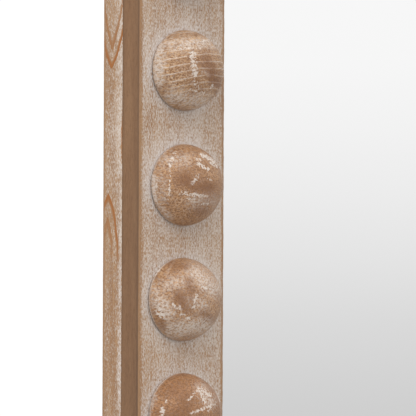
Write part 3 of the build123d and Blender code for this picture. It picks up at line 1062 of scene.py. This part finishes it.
def make_ring(name, side):
    """A ring bent from steel wire, flattened where it hangs and round where the strap holds it."""
    low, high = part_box(f"{side}_hanger_ring")
    bar_radius, wire, thick, bend = ring_bar_radius, ring_wire_width, ring_thickness, ring_bend
    axis = Vector(((low.x + high.x) / 2, (low.y + high.y) / 2, high.z - bar_radius))
    half = (high.x - low.x - wire) / 2
    drop = axis.z - low.z - wire / 2 - half
    path = [(x * half / 6, 0.0) for x in range(-5, 6)]
    path = [p for p in path if abs(p[0]) < half - bend]
    quarter = np.linspace(0, math.pi / 2, 7)
    path += [(half - bend + bend * math.sin(t), -bend + bend * math.cos(t)) for t in quarter]
    path += [(half, -bend - (drop - bend) * i / 4) for i in range(1, 5)]
    path += [(half * math.cos(t), -drop - half * math.sin(t)) for t in np.linspace(0, math.pi, 33)[1:]]
    path += [(-half, -drop + (drop - bend) * i / 4) for i in range(1, 5)]
    path += [(-half + bend - bend * math.cos(t), -bend + bend * math.sin(t)) for t in quarter[1:]]
    count, around = len(path), 20
    points = []
    for i, (x, z) in enumerate(path):
        before, after = path[i - 1], path[(i + 1) % count]
        dx, dz = after[0] - before[0], after[1] - before[1]
        size = math.hypot(dx, dz)
        out = (-dz / size, dx / size)
        flat = min(1.0, max(0.0, -z / (2 * bend)))
        a = bar_radius + (wire / 2 - bar_radius) * flat
        b = bar_radius + (thick / 2 - bar_radius) * flat
        for j in range(around):
            turn = 2 * math.pi * j / around
            c, s = math.cos(turn), math.sin(turn)
            square = 1 - 0.35 * flat
            ca, sb = math.copysign(abs(c) ** square, c) * a, math.copysign(abs(s) ** square, s) * b
            points.append((axis.x + x + out[0] * ca, axis.y + sb, axis.z + z + out[1] * ca))
    piece = new_piece(name, points, loft_faces(count, around, "joined"), [zinc], smooth=50)
    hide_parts(f"{side}_hanger_ring")
    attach(piece, f"{side}_ring")


for side in ("left", "right"):
    make_strap(f"rolled_strap_{side}", side)
    make_ring(f"bent_ring_{side}", side)

# Hanger screws, two on each strap
hanger_head_radius = 4 * mm
hanger_shank_radius = 2 * mm
hanger_screw_spacing = 14 * mm
screw_low, screw_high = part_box("hanger_screws")
strap_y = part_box("left_hanger_strap")[0].y + strap_thickness
draw = random.Random(5)
for side, sign in (("left", -1), ("right", 1)):
    for i in range(2):
        head_z = screw_high.z - hanger_head_radius - i * hanger_screw_spacing
        screw = make_screw(
            f"hanger_screw_{side}_{i + 1}", (sign * bumper_ring, strap_y, head_z), hanger_head_radius,
            screw_high.y - strap_y, hanger_shank_radius, strap_y - screw_low.y, draw.uniform(0, math.pi),
        )
        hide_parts("hanger_screws")

# Screws that hold the back panel, round the arch and along the foot
panel_screw_inset = 71 * mm
panel_screw_gap = 260 * mm
panel_screw_margin = 30 * mm
panel_screw = (3.4 * mm, 1.9 * mm, 1.6 * mm, 14 * mm)
path_length = rise_length - 2 * panel_screw_inset
path_steps = round(path_length / panel_screw_gap)
for i in range(path_steps + 1):
    s = panel_screw_inset + panel_screw_margin + (path_length - 2 * panel_screw_margin) * i / path_steps
    x, z = rise_point(np.array(s), panel_screw_inset)
    centre = (float(x), panel_back, float(z))
    make_screw(f"panel_screw_{i + 1:02d}", centre, *panel_screw, draw.uniform(0, math.pi))
for i, x in enumerate((-0.5, 0.5)):
    centre = (x * half_width, panel_back, panel_screw_inset)
    make_screw(f"foot_screw_{i + 1}", centre, *panel_screw, draw.uniform(0, math.pi))

# Bumpers
bumper_places = [(-bumper_ring, back_width / 2), (bumper_ring, back_width / 2)]
for turn in (math.radians(60), math.radians(120)):
    bumper_places.append((-bumper_ring * math.cos(turn), spring_height + bumper_ring * math.sin(turn)))
for i, (x, z) in enumerate(bumper_places):
    make_bumper(f"rubber_foot_{i + 1}", (x, back_y, z))

# Pieces that stay as the frame gives them
plain_finishes = {
    "joint_tenons": beech, "glass_setting_blocks": rubber, "foam_packing": foam, "back_panel": fibreboard,
}
for node, material in plain_finishes.items():
    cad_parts[node].data.materials.clear()
    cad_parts[node].data.materials.append(material)


# Studio
def make_floor():
    """A wide pale disc under the mirror, with a hair of room above it."""
    around, room, size = 128, 0.5 * mm, 8.0
    rings = [(size - 0.1, -0.02), (size, -0.01), (size, 0.0), (size - 0.1, 0.0)]
    turns = [2 * math.pi * j / around for j in range(around)]
    points = []
    for radius, z in rings:
        points += [(radius * math.cos(t), radius * math.sin(t), z - room) for t in turns]
    piece = new_piece("studio_floor", points, loft_faces(len(rings), around), [floor_material()])


def make_key_light():
    """A soft light above and to the front left, which neither the camera nor the mirror sees."""
    light = bpy.data.lights.new("key_light", "AREA")
    light.shape = "RECTANGLE"
    light.size, light.size_y = 2.0, 2.0
    light.energy = 48
    lamp = bpy.data.objects.new("key_light", light)
    lamp.location = (-2.5, -1.7, 3.4)
    aim = Vector((-0.35, 0.0, 0.75)) - lamp.location
    lamp.rotation_euler = aim.to_track_quat("-Z", "Y").to_euler()
    lamp.visible_camera = False
    lamp.visible_glossy = False
    bpy.context.scene.collection.objects.link(lamp)


# The soft horizon in front of the mirror: how far up a ray points, and how bright the studio is there
horizon_reach = 0.09
horizon_stops = (
    (-0.090, 0.55), (-0.0436, 0.641), (-0.038, 0.662), (-0.0242, 0.720), (-0.0104, 0.798), (0.0035, 0.862),
    (0.0173, 0.913), (0.0311, 0.948), (0.0449, 0.958), (0.090, 0.985),
)


def make_world():
    """White behind the mirror; in front of it a soft horizon, which the glass shows as a gradient."""
    world = bpy.data.worlds.new("studio")
    bpy.context.scene.world = world
    world.use_nodes = True
    sh = Nodes(world.node_tree)
    coordinate = sh.node("ShaderNodeTexCoord").outputs["Generated"]
    x, y, z = sh.node("ShaderNodeSeparateXYZ", coordinate).outputs

    # The ramp comes with a stop at each end
    ramp = sh.node("ShaderNodeValToRGB", sh.level(z, -horizon_reach, horizon_reach))
    stops = ramp.color_ramp.elements
    for rise, bright in horizon_stops[1:-1]:
        stops.new((rise + horizon_reach) / (2 * horizon_reach))
    for stop, (rise, bright) in zip(stops, horizon_stops):
        stop.color = (bright, bright, bright, 1)

    high = sh.level(z, 0.12, 0.9, 1.0, 1.35)
    low = sh.level(z, -0.6, -0.12, 0.45, 1.0)
    front = sh.times(ramp.outputs[0], sh.times(high, low))
    front = sh.times(front, sh.level(x, -0.7, 0.45, 1.2, 1.0))
    back = sh.times(sh.level(z, 0.12, 0.9, 1.05, 1.45), sh.level(x, 0.75, 1.0, 1.0, 0.75))
    bright = sh.mix(sh.level(y, -0.15, 0.15), front, back)
    background = world.node_tree.nodes["Background"]
    sh.set(background.inputs["Color"], bright)
    background.inputs["Strength"].default_value = 1.0


def make_camera():
    """Looks as the photograph does: level, from the left, with its slight roll."""
    data = bpy.data.cameras.new("camera")
    data.sensor_width = 36
    data.lens = data.sensor_width * view_distance / field_width
    data.clip_end = 100
    camera = bpy.data.objects.new("camera", data)
    spot = view_right * photo_right + view_ahead * (photo_ahead - view_distance)
    turn = Matrix.Rotation(-view_turn, 4, "Z") @ Matrix.Rotation(math.pi / 2, 4, "X")
    roll = Matrix.Rotation(photo_roll, 4, "Z")
    camera.matrix_world = Matrix.Translation(spot + Vector((0, 0, photo_height))) @ turn @ roll
    bpy.context.scene.collection.objects.link(camera)
    bpy.context.scene.camera = camera


make_floor()
make_key_light()
make_world()
make_camera()
bpy.context.scene.view_settings.view_transform = "Standard"
